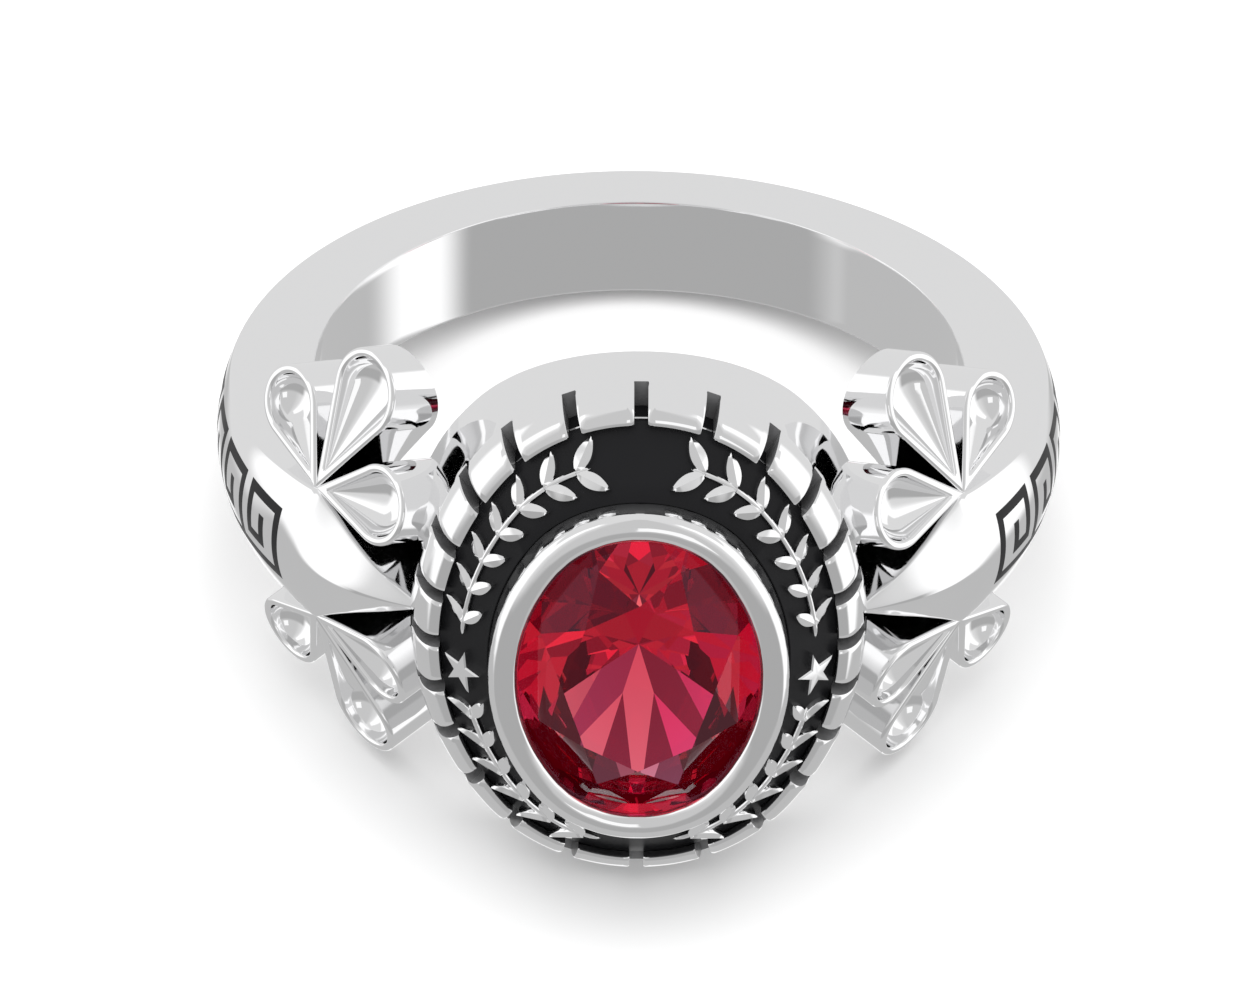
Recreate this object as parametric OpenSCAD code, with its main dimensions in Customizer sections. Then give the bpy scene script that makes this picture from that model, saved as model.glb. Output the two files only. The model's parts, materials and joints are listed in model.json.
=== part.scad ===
// Class ring with an oval stone, lying on its side.
// The ring is drawn upright: X across the finger, Y towards the back of the band, Z along the finger,
// and heights are measured from the finger hole's axis towards the head, which faces -Y. The last step
// leans the ring until it rests on the head's edge and the band's back.

/* [Finger hole] */
// Radius of the finger hole
bore_r = 8.5; // [8:0.05:9]

/* [Band] */
// Radius of the circle of the band's outer edges
edge_r = 10.72; // [10.6:0.02:10.9]
// How far that circle's centre stands towards the head from the finger hole's centre
edge_shift = 0.6; // [0.4:0.05:0.8]
// Half width of the band at the back
band_half = 1.39; // [1.2:0.01:1.6]
// Radius of the domed outer face across the band
dome_r = 3.37; // [3:0.05:4.5]

/* [Shoulders] */
// Half width of a shoulder where its point begins
shoulder_half = 1.95; // [1.8:0.05:2.1]
// Height at which the band begins to widen
widen_h = -1.5; // [-2.5:0.1:0]
// Height at which a shoulder is widest
shoulder_h = 6.72; // [6.4:0.02:7]
// Height of a shoulder's point
point_h = 9.33; // [9.2:0.01:9.5]
// Distance of a shoulder's point from the centre of the edge circle
point_r = 10.5; // [10.45:0.01:10.55]
// Angle of a shoulder's ridge above the plane of its edges
point_rise = 13.2; // [10:0.2:16]

/* [Head] */
// Half width of the head across the finger
head_a = 5.88; // [5.84:0.02:6.1]
// Half length of the head along the finger
head_b = 7.35; // [7.1:0.05:7.6]
// Height of the rim's crest
rim_h = 10.93; // [10.85:0.01:11]
// Width of the rim's rounded outer edge
rim_round = 0.7; // [0.5:0.01:0.72]
// Height of that rounding
rim_fall = 1.4; // [1.2:0.05:1.5]
// Width of the rim
rim_w = 0.76; // [0.75:0.01:0.85]
// Bevel of the rim's inner edge
rim_bevel = 0.04; // [0.02:0.01:0.1]
// Height of the collar's black surface where it meets the rim
collar_h = 10.66; // [10.6:0.01:10.69]
// Slope of the collar, up towards the bezel
collar_slope = 39; // [37:1:41]
// Number of notches in the rim
notches = 24; // [16:4:28]
// Width of a notch
notch_w = 0.364; // [0.25:0.01:0.45]
// Height of a notch's floor
notch_h = 9.9; // [9.8:0.02:10]

/* [Bezel] */
// Half width of the bezel outside
bezel_a = 3.87; // [3.8:0.01:3.95]
// Half length of the bezel outside
bezel_b = 4.94; // [4.88:0.01:5]
// Height of the bezel's crest above the upper edge of the stone's girdle
bezel_over = 1.12; // [1.05:0.01:1.2]
// Radius of the bezel's rounded outer edge
bezel_round = 0.36; // [0.25:0.01:0.45]
// Flat width of the bezel's crest
crest_w = 0.12; // [0.05:0.01:0.2]
// Drop of the lip from the crest to its inner edge
lip_drop = 0.17; // [0.1:0.01:0.25]
// Half width of the bezel's opening over the stone
lip_a = 3.1; // [3.02:0.01:3.2]
// Half width of the opening under the stone
light_a = 2.75; // [2.65:0.05:2.85]

/* [Stone] */
// Half width of the stone
stone_a = 3.5; // [3.46:0.01:3.52]
// Half length of the stone
stone_b = 4.5; // [4.4:0.02:4.52]
// Height of the upper edge of the stone's girdle
girdle_h = 11.68; // [11.6:0.01:11.75]
// Thickness of the girdle
girdle_t = 0.14; // [0.1:0.01:0.2]
// Height of the crown above the girdle
crown_t = 1.42; // [1.2:0.02:1.44]
// Depth of the pavilion below the girdle
pavilion_t = 2.75; // [2.6:0.05:2.9]
// Size of the table as a share of the stone
table_share = 0.56; // [0.5:0.01:0.6]
// Distance of the crown's star points from its middle, as a share of the stone
star_share = 0.78; // [0.76:0.01:0.8]
// Distance of the pavilion's inner points from its middle, as a share of the stone
lower_share = 0.3; // [0.2:0.01:0.4]

/* [Petals] */
// Turn of a fan of petals about the finger's axis
fan_turn = 51.4; // [49:0.2:53]
// Lean of a fan towards the end of the finger hole
fan_lean = 16.6; // [15:0.2:18]
// Distance from the ring's middle to where a fan's petals meet, across the finger
fan_x = 8.4; // [8.2:0.02:8.5]
// Height where a fan's petals meet
fan_h = 6.67; // [6.5:0.01:6.8]
// Distance from the ring's middle to where a fan's petals meet, along the finger
fan_z = 1.96; // [1.85:0.01:2.05]
// Distance from there to the middle of the longest petal's round end
petal_l = 3.25; // [3.1:0.05:3.4]
// Radius of the longest petal's round end
petal_r = 1.17; // [1.1:0.01:1.22]
// Depth of a petal's body before the finger hole cuts it
petal_t = 3.2; // [3:0.1:3.5]
// Width of a petal's rim
petal_rim = 0.24; // [0.15:0.01:0.3]

/* [Collar relief] */
// Height of the relief above the black fill
relief_up = 0.2; // [0.1:0.01:0.3]
// Thickness of the black fill
fill_t = 0.16; // [0.1:0.01:0.2]
// Length of a leaf at the head's ends
leaf_l = 1.05; // [0.8:0.01:1.1]
// Width of a leaf at the head's ends
leaf_w = 0.46; // [0.3:0.01:0.5]
// Width of the collar where a leaf has that length and width
leaf_room = 1.64; // [1.6:0.02:1.8]
// Lean of a leaf away from its stem
leaf_lean = 46; // [40:1:55]
// Spacing of the leaf pairs along the stem
leaf_step = 0.93; // [0.9:0.01:0.95]
// Leaf pairs between a star and the head's upper end
upper_pairs = 7; // [3:1:8]
// Leaf pairs between a star and the head's lower end
lower_pairs = 6; // [3:1:6]
// Width of the stem
stem_w = 0.15; // [0.1:0.01:0.2]
// Radius of a star
star_r = 0.66; // [0.6:0.01:0.7]
// Distance of the stars below the head's middle
star_drop = 0.62; // [0.5:0.02:0.8]
// Room along the collar between a star's middle and the nearest leaves
star_room = 1; // [0.9:0.05:1.2]

/* [Side pattern] */
// Half height of the pattern on each side
key_half = 1.08; // [0.9:0.01:1.1]
// Width of the pattern's line
key_line = 0.27; // [0.2:0.01:0.3]
// Length of one key along the band
key_step = 2.1; // [1.95:0.05:2.2]
// Number of keys on a side
keys = 6; // [4:1:6]
// Angle from the side to the pattern's end near the head
key_end = 31; // [29:0.5:32]
// Depth of the pattern's cut below the dome's crest
key_depth = 0.42; // [0.36:0.01:0.5]

/* [Fits] */
// Gap round the black fills
fill_gap = 0.02; // [0.01:0.005:0.03]
// Gap round the stone
stone_gap = 0.03; // [0.02:0.005:0.05]

/* [Hidden] */
$fn = 96;

// Length of a cut that goes right through
far = 40;
// How far parts of the casting run into each other
lap = 0.3;
// Steps round a small rounded edge, and round a petal's end
round_steps = 6;
petal_steps = 18;
// Half width of the gap between the shank's two ends, inside the head
shank_gap = 5.2;

// Each petal of a fan: its direction in the fan's plane, its length as a share of petal_l and the
// radius of its round end as a share of petal_r
petals = [
    [136.2, 0.72, 0.88],
    [74.3, 1, 1],
    [14.7, 0.745, 0.92]
];

// One key of the side pattern. Each stroke is [start, end, low, high]: along the band as shares of
// key_step, and up it as shares of the pattern's half height.
key_strokes = [
    [0, 0, -1, 1],
    [0, 0.7, 1, 1],
    [0.7, 0.7, -0.4, 1],
    [0.36, 0.7, -0.4, -0.4],
    [0.36, 0.36, -0.4, 0.3],
    [0, 1, -1, -1]
];

// The domed face: its crest, and its distance from the edge circle's centre at z along the finger
dome_x = edge_r - sqrt(dome_r * dome_r - band_half * band_half);
crest_r = dome_x + dome_r;
function dome_at(z) = dome_x + sqrt(dome_r * dome_r - z * z);
// The floor of the side pattern's cut
key_floor = crest_r - key_depth;

// A shoulder's edge where its point begins, its point, and the cone that rounds the point off
shoulder_r = dome_at(shoulder_half);
shoulder_x = sqrt(pow(shoulder_r, 2) - pow(shoulder_h - edge_shift, 2));
point_x = sqrt(pow(point_r, 2) - pow(point_h - edge_shift, 2));
point_l = norm([shoulder_x - point_x, point_h - shoulder_h]);
point_spread = atan(shoulder_half / point_l);
cone_dip = atan((cos(point_rise) - cos(point_spread)) / sin(point_rise));
cone_half = cone_dip + point_rise;
point_dir = atan2(point_h - shoulder_h, shoulder_x - point_x);

// A four-arc oval of half width a and half length b, whose arcs meet where their normals run 4 across
// and 3 along: the radii of its ends and of its sides, and that normal's angle from X
function end_r(a, b) = (3 * a - b) / 2;
function side_r(a, b) = end_r(a, b) + 2.5 * (b - a);
meet = [4 / 5, 3 / 5];
meet_angle = atan2(meet.y, meet.x);

// A point of that oval where its outward normal is at phi from X, on the side x > 0
function oval_point(a, b, phi) =
    abs(phi) < meet_angle
    ? [a - side_r(a, b) + side_r(a, b) * cos(phi), side_r(a, b) * sin(phi)]
    : [end_r(a, b) * cos(phi), sign(phi) * (b - end_r(a, b)) + end_r(a, b) * sin(phi)];

// That oval's distance from the middle, square to its tangent where the normal is at phi
function reach(a, b, phi) =
    abs(phi) < meet_angle
    ? side_r(a, b) + (a - side_r(a, b)) * cos(phi)
    : end_r(a, b) + (b - end_r(a, b)) * abs(sin(phi));

// The bezel stands over the stone's girdle
bezel_h = girdle_h + bezel_over;
seat_in = bezel_a - stone_a - stone_gap;

// How far a point with x > 0 lies inside the head's wall
head_end = end_r(head_a, head_b);
head_side = side_r(head_a, head_b);
function end_ray(p) = [p.x, abs(p.y) - head_b + head_end];
function inside_wall(p) =
    atan2(end_ray(p).y, end_ray(p).x) > meet_angle
    ? head_end - norm(end_ray(p))
    : head_side - norm([p.x - head_a + head_side, p.y]);

// The collar's black surface at a distance inside the wall, and its drop to the metal below the fill
function collar_at(inside) = collar_h + (inside - rim_w) * tan(collar_slope);
fill_drop = (fill_t + fill_gap) / cos(collar_slope);
// The collar's metal and fill start out past the bezel's outside all round, and are cut there
collar_in = max(head_a - bezel_a, head_b - bezel_b) + seat_in;
// The head's metal starts below the finger hole's wall, and the hole trims it
head_foot = sqrt(bore_r * bore_r - head_a * head_a) - lap;

// The line along which the relief stands, in the middle of the collar
path_a = (head_a - rim_w + bezel_a) / 2;
path_b = (head_b - rim_w + bezel_b) / 2;
path_end = end_r(path_a, path_b);
path_side = side_r(path_a, path_b);
end_arc = path_end * (90 - meet_angle) * PI / 180;
side_arc = path_side * meet_angle * PI / 180;
path_half = 2 * (end_arc + side_arc);
star_phi = -asin(star_drop / path_side);
star_s = end_arc + side_arc + star_drop;
// The normal's angle at a length s along that line from the head's upper end
function path_phi(s) =
    s < end_arc ? 90 - s / path_end * 180 / PI
    : s < path_half - end_arc ? meet_angle - (s - end_arc) / path_side * 180 / PI
    : -meet_angle - (s - path_half + end_arc) / path_end * 180 / PI;
// Leaves shrink towards the sides as the collar narrows
function leaf_size(phi) = (reach(head_a, head_b, phi) - rim_w - reach(bezel_a, bezel_b, phi)) / leaf_room;

// The stone's crown: height of the star points, and the steepest slope from the girdle up
star_rise = crown_t * (1 - (star_share * cos(22.5) - table_share) / (1 - table_share));
crown_steep = star_rise / (1 - star_share) / stone_a;
lower_drop = pavilion_t * (1 - lower_share * cos(22.5));
pavilion_steep = lower_drop / (1 - lower_share) / stone_a;

// The resting ring: its lean, the height of the finger hole's centre, and its middle along Y
rest_lean = atan((head_b - band_half) / (bore_r + edge_r - edge_shift));
rest_h = head_b * cos(rest_lean) - bore_r * sin(rest_lean);
front_y = (bezel_h - bezel_round) * cos(rest_lean) + (bezel_b - bezel_round) * sin(rest_lean) + bezel_round;
back_y = (dome_x - edge_shift) * cos(rest_lean) + dome_r;
rest_y = (front_y - back_y) / 2;

// Lays the upright ring down
module rest() {
    translate([0, rest_y, rest_h]) rotate([-rest_lean, 0, 0]) children();
}

// Turns Z to the head's direction and Y to the finger's
module to_head() {
    rotate([90, 0, 0]) children();
}

// Turns X to the head's direction and Y to the finger's
module to_side() {
    rotate([90, 0, -90]) children();
}

module both_sides() {
    children();
    mirror([1, 0, 0]) children();
}

// A turned ring's slice between the directions meet and its mirror image in X or in Y
module slice(across) {
    low = across ? [meet.x, -meet.y] : [-meet.x, meet.y];
    intersection() {
        children();
        translate([0, 0, -far]) linear_extrude(2 * far) polygon([[0, 0], far * low, far * (low + meet), far * meet]);
    }
}

// Carries a profile round a four-arc oval: the profile's X is the distance out from the oval
module oval_sweep(a, b) {
    for (turn = [0, 180]) rotate([0, 0, turn]) {
        translate([a - side_r(a, b), 0, 0]) slice(true)
            rotate_extrude() translate([side_r(a, b), 0]) children();
        translate([0, b - end_r(a, b), 0]) slice(false)
            rotate_extrude() translate([end_r(a, b), 0]) children();
    }
}

// The body of revolution under the band's domed outer face
module dome_body(shrink) {
    translate([0, -edge_shift, 0]) rotate_extrude() intersection() {
        translate([dome_x, 0]) circle(dome_r - shrink);
        translate([bore_r - 2 * edge_shift, -shoulder_half - lap])
            square([dome_r + dome_x - bore_r + 2 * edge_shift, 2 * (shoulder_half + lap)]);
    }
}

// The shank's width, seen from the side
module shank_side() {
    upper = [
        [-crest_r, band_half],
        [widen_h, band_half],
        [shoulder_h, shoulder_half],
        [point_h, lap / 2]
    ];
    lower = [for (i = [len(upper) - 1:-1:0]) [upper[i].x, -upper[i].y]];
    to_side() translate([0, 0, -far / 2]) linear_extrude(far) polygon(concat(upper, lower));
}

// Leaves the band alone and rounds the two points of the shank to cones
module point_cones() {
    cone_l = 2 * point_l;
    translate([-far / 2, -shoulder_h, -far / 2]) cube([far, far, far]);
    both_sides() translate([point_x, -point_h, 0]) rotate([0, 90, point_dir + cone_dip])
        cylinder(h = cone_l, r1 = 0, r2 = cone_l * tan(cone_half));
}

module shank() {
    difference() {
        intersection() {
            dome_body(0);
            shank_side();
            point_cones();
        }
        translate([-shank_gap, -far, -far / 2]) cube([2 * shank_gap, far, far]);
    }
}

// The corner points of an outer edge at x = 0 that rounds over a width and a height, up to its crest
function outer_round(top, width, fall) = [for (i = [0:round_steps]) let (t = 90 * i / round_steps)
    [width * (cos(t) - 1), top + fall * (sin(t) - 1)]];

module head_body() {
    oval_sweep(head_a, head_b) polygon(concat(
        [[0, head_foot]],
        outer_round(rim_h, min(rim_round, rim_w - rim_bevel), rim_fall),
        [
            [rim_bevel - rim_w, rim_h],
            [-rim_w, rim_h - rim_bevel],
            [-rim_w, collar_h - fill_drop],
            [-collar_in, collar_at(collar_in) - fill_drop],
            [-collar_in, head_foot]
        ]
    ));
}

// What lies further inside the bezel's outer oval than a distance
module bezel_core(inside) {
    deep = end_r(bezel_a, bezel_b) - lap;
    oval_sweep(bezel_a, bezel_b) translate([-deep, 0]) square([deep - inside, far]);
}

module notch_cuts() {
    intersection() {
        oval_sweep(head_a, head_b) translate([-rim_w - fill_gap, notch_h]) square([rim_w + 2 * lap, far]);
        for (i = [0:notches - 1]) rotate([0, 0, 90 + 360 * i / notches])
            translate([0, -notch_w / 2, notch_h - lap]) cube([far, notch_w, far]);
    }
}

module bezel() {
    lip_in = bezel_a - lip_a;
    light_in = bezel_a - light_a;
    girdle_low = girdle_h - girdle_t - stone_gap;
    oval_sweep(bezel_a, bezel_b) polygon(concat(
        [[0, head_foot]],
        outer_round(bezel_h, bezel_round, bezel_round),
        [
            [-bezel_round - crest_w, bezel_h],
            [-lip_in, bezel_h - lip_drop],
            [-lip_in, girdle_h + stone_gap + (lip_in - seat_in) * crown_steep],
            [-seat_in, girdle_h + stone_gap],
            [-seat_in, girdle_low],
            [-light_in, girdle_low - (light_in - seat_in) * pavilion_steep],
            [-light_in, head_foot]
        ]
    ));
}

// Stands a piece on the middle of the collar, with its Z square to the black surface, its X down the
// slope and its Y along the collar
module on_collar(phi) {
    p = oval_point(path_a, path_b, phi);
    translate([p.x, p.y, collar_at(inside_wall(p))]) rotate([0, 0, phi]) rotate([0, collar_slope, 0]) children();
}

module leaf(size, grow) {
    long = leaf_l * size + 2 * grow;
    wide = leaf_w * size + 2 * grow;
    bow = (long * long + wide * wide) / (4 * wide);
    intersection() {
        translate([long / 2 - grow, bow - wide / 2]) circle(bow);
        translate([long / 2 - grow, wide / 2 - bow]) circle(bow);
    }
}

module leaf_pair(phi, grow) {
    size = leaf_size(phi);
    for (side = [-1, 1]) rotate([0, 0, 90 - side * leaf_lean]) leaf(size, grow);
    translate([-stem_w / 2 - grow, -leaf_step / 2 - grow]) square([stem_w + 2 * grow, leaf_step + 2 * grow]);
}

module star(grow) {
    tip = star_r + 2 * grow;
    waist = tip * sin(18) / sin(54);
    polygon([for (i = [0:9]) let (r = i % 2 == 0 ? tip : waist) [-r * sin(36 * i), r * cos(36 * i)]]);
}

// The stars and sprigs of leaves that stand on the collar
module relief(grow) {
    deep = fill_t + fill_gap + lap / 2;
    both_sides() {
        on_collar(star_phi) translate([0, 0, -deep]) linear_extrude(deep + relief_up) star(grow);
        for (i = [0:upper_pairs - 1]) {
            phi = path_phi(star_s - star_room - leaf_step * (i + 0.5));
            on_collar(phi) translate([0, 0, -deep]) linear_extrude(deep + relief_up) leaf_pair(phi, grow);
        }
        for (i = [0:lower_pairs - 1]) {
            phi = path_phi(star_s + star_room + leaf_step * (i + 0.5));
            on_collar(phi) translate([0, 0, -deep]) linear_extrude(deep + relief_up) leaf_pair(phi, grow);
        }
    }
}

// The outline of a petal from its point at x = from: two straight sides and a round end
function petal_outline(l, r, from) = concat([[from, 0]],
    [for (i = [0:petal_steps]) let (half = 90 + asin(r / (l - from)), t = half * (2 * i / petal_steps - 1))
        [l + r * cos(t), r * sin(t)]]);

module petal(p) {
    long = petal_l * p[1];
    r = petal_r * p[2];
    from = petal_rim * long / r;
    rotate([0, 0, p[0]]) difference() {
        // The petals of a fan overlap where they meet
        translate([0, 0, -petal_t]) linear_extrude(petal_t) polygon(petal_outline(long, r, -petal_rim / 2));
        rotate([0, 90, 0]) rotate_extrude() polygon([
            for (q = petal_outline(long, r - petal_rim, from)) if (q.y > -0.001) [max(q.y, 0), q.x]
        ]);
    }
}

module fans() {
    for (up = [0, 1]) both_sides() mirror([0, 0, up])
        translate([-fan_x, -fan_h, fan_z]) rotate([90 - fan_lean, 0, -fan_turn])
            for (p = petals) petal(p);
}

// A sector of the plane between two angles from X, as far out as the side pattern's cuts can reach
module sector(from, to) {
    polygon([[0, 0], 2 * edge_r * [cos(from), sin(from)], 2 * edge_r * [cos(to), sin(to)]]);
}

// The side pattern's strokes, wider by grow on each side, from one radius to another
module side_pattern(low_r, high_r, grow) {
    half = key_half - key_line / 2;
    wide = key_line / 2 + grow;
    per_mm = 180 / PI / crest_r;
    // Strokes along the band end inside the upright ones that they join
    translate([0, -edge_shift, 0]) for (s = key_strokes) {
        upright = s[0] == s[1];
        before = upright ? wide : wide / 2;
        after = upright ? wide : grow;
        intersection() {
            rotate_extrude() translate([low_r, s[2] * half - wide])
                square([high_r - low_r, (s[3] - s[2]) * half + 2 * wide]);
            translate([0, 0, -far / 2]) linear_extrude(far) for (i = [0:keys - 1])
                sector(((i + s[0]) * key_step - before) * per_mm - key_end,
                    ((i + s[1]) * key_step + after) * per_mm - key_end);
        }
    }
}

module side_enamel() {
    color("#17181a") rest() side_pattern(key_floor + fill_gap, dome_at(key_half), -fill_gap);
}

module right_side_enamel() {
    side_enamel();
}

module left_side_enamel() {
    mirror([1, 0, 0]) side_enamel();
}

module collar_enamel() {
    top_in = rim_w + fill_gap;
    thick = fill_t / cos(collar_slope);
    color("#17181a") rest() to_head() difference() {
        oval_sweep(head_a, head_b) polygon([
            [-top_in, collar_at(top_in)],
            [-collar_in, collar_at(collar_in)],
            [-collar_in, collar_at(collar_in) - thick],
            [-top_in, collar_at(top_in) - thick]
        ]);
        bezel_core(-fill_gap);
        relief(fill_gap);
    }
}

module stone() {
    function ring_points(n, first, share, h) = [for (i = [0:n - 1]) let (t = first + 360 * i / n)
        [stone_a * share * cos(t), stone_b * share * sin(t), h]];
    low = girdle_h - girdle_t;
    points = concat(
        ring_points(8, 0, table_share, girdle_h + crown_t),
        ring_points(8, 22.5, star_share, girdle_h + star_rise),
        ring_points(16, 0, 1, girdle_h),
        ring_points(16, 0, 1, low),
        ring_points(8, 22.5, lower_share, low - lower_drop),
        [[0, 0, low - pavilion_t]]
    );
    // The first point of each ring of points: table, stars, girdle above and below, pavilion, culet
    t = 0;
    s = 8;
    g = 16;
    l = 32;
    p = 48;
    culet = 56;
    faces = concat(
        [[for (k = [7:-1:0]) t + k]],
        [for (k = [0:7]) [t + k, t + (k + 1) % 8, s + k]],
        [for (k = [0:7]) [t + k, s + k, g + 2 * k, s + (k + 7) % 8]],
        [for (k = [0:7]) [s + k, g + 2 * k + 1, g + 2 * k]],
        [for (k = [0:7]) [s + k, g + (2 * k + 2) % 16, g + 2 * k + 1]],
        [for (j = [0:15]) [g + j, g + (j + 1) % 16, l + (j + 1) % 16, l + j]],
        [for (k = [0:7]) [culet, p + (k + 7) % 8, l + 2 * k, p + k]],
        [for (k = [0:7]) [p + k, l + 2 * k, l + 2 * k + 1]],
        [for (k = [0:7]) [p + k, l + 2 * k + 1, l + (2 * k + 2) % 16]]
    );
    color("#c8103a") rest() to_head() polyhedron(points, faces);
}

module ring_casting() {
    color("#d9dadc") rest() difference() {
        union() {
            difference() {
                union() {
                    shank();
                    fans();
                }
                to_head() bezel_core(0);
            }
            to_head() difference() {
                head_body();
                notch_cuts();
                bezel_core(seat_in / 2);
            }
            to_head() bezel();
            to_head() relief(0);
        }
        cylinder(h = far, r = bore_r, center = true);
        both_sides() side_pattern(key_floor, crest_r + lap, 0);
    }
}

ring_casting();
stone();
collar_enamel();
left_side_enamel();
right_side_enamel();
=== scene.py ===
import json
from math import asin, atan2, cos, pi, radians, sin, sqrt, tan

import bmesh
import bpy
import numpy as np
from mathutils import Matrix, Vector


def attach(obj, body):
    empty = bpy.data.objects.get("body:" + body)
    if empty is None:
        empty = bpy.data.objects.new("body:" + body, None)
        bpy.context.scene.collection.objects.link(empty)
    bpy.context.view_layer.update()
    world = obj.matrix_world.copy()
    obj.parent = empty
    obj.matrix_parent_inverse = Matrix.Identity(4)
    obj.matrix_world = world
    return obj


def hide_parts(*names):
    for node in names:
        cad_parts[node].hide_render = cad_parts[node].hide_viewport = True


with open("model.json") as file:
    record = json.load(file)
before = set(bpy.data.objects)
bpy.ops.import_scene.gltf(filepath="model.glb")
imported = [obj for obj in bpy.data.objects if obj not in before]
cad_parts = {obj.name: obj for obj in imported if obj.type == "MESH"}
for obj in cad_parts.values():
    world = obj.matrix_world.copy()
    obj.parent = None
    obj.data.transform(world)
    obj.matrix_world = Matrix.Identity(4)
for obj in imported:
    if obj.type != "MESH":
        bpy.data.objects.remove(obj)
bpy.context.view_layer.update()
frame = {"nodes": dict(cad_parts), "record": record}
print("frame loaded:", ", ".join(sorted(frame["nodes"])))

# The ring is worked out upright, in millimetres: x across the finger, h towards the head and a along
# the finger, all from the finger hole's middle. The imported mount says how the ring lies.
hole = frame["record"]["mounts"][0]
holeAxis = np.array(hole["axis"], float)
holeMiddle = np.array(hole["pos_m"], float)
headward = np.cross((1, 0, 0), holeAxis)
boreR = hole["dims"]["r_mm"]


def toRow(x, h, a):
    # Upright millimetres to the lying ring's metres: each part times its own direction, added up
    parts = [np.asarray(v, float)[..., None] * 0.001 for v in np.broadcast_arrays(x, h, a)]
    return holeMiddle + parts[0] * np.array((1, 0, 0)) + parts[1] * headward + parts[2] * holeAxis


def ease(t):
    # From 0 to 1, level at both ends
    return t * t * (3 - 2 * t)


def smoothThrough(x, xs, ys):
    # A cubic between each two neighbouring points, with its slope at a point taken from both sides
    xs, ys = np.array(xs, float), np.array(ys, float)
    slope = np.gradient(ys, xs)
    k = np.clip(np.searchsorted(xs, x) - 1, 0, len(xs) - 2)
    step = xs[k + 1] - xs[k]
    t = np.clip((x - xs[k]) / step, 0, 1)
    lift = step * (t * (1 - t) ** 2 * slope[k] - t * t * (1 - t) * slope[k + 1])
    return ys[k] + (ys[k + 1] - ys[k]) * ease(t) + lift


def gridFaces(rows, cols, wrapRows=False, wrapCols=False):
    # Quads of a grid whose points are numbered row by row
    i, j = np.meshgrid(np.arange(rows - (not wrapRows)), np.arange(cols - (not wrapCols)), indexing="ij")
    down, across = (i + 1) % rows, (j + 1) % cols
    corners = [i * cols + j, down * cols + j, down * cols + across, i * cols + across]
    return np.stack(corners, -1).reshape(-1, 4)


def makePiece(name, points, faces, materials, node, slot, slots=None, sharp=35.0, flat=False):
    # A mesh from arrays: near points joined, faces turned outwards, soft shading up to the sharp angle
    mesh = bpy.data.meshes.new(name)
    mesh.from_pydata(points.reshape(-1, 3).tolist(), [], [list(face) for face in faces])
    if slots is not None:
        mesh.polygons.foreach_set("material_index", slots.astype(np.int32))
    tidy = bmesh.new()
    tidy.from_mesh(mesh)
    bmesh.ops.remove_doubles(tidy, verts=tidy.verts, dist=2e-7)
    bmesh.ops.dissolve_degenerate(tidy, edges=tidy.edges, dist=1e-7)
    bmesh.ops.recalc_face_normals(tidy, faces=tidy.faces)
    tidy.to_mesh(mesh)
    tidy.free()
    if flat:
        mesh.shade_flat()
    else:
        mesh.shade_smooth()
        mesh.set_sharp_from_angle(angle=radians(sharp))
    for material in materials:
        mesh.materials.append(material)
    piece = bpy.data.objects.new(name, mesh)
    bpy.context.scene.collection.objects.link(piece)
    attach(piece, "root")
    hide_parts(node)
    return piece


# Materials

def newMaterial(name):
    material = bpy.data.materials.new(name)
    material.use_nodes = True
    nodes, links = material.node_tree.nodes, material.node_tree.links
    return material, nodes, links, nodes["Principled BSDF"]


polishLook = {
    "turns": (0.35, -1.1),  # the directions of two sets of scratches
    "stretch": (900, 24000, 9000),
    "depth": 2e-6,
    "patches": 700,  # noise scale of the uneven gloss
    "patchRange": (0.35, 0.65),
}


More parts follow.
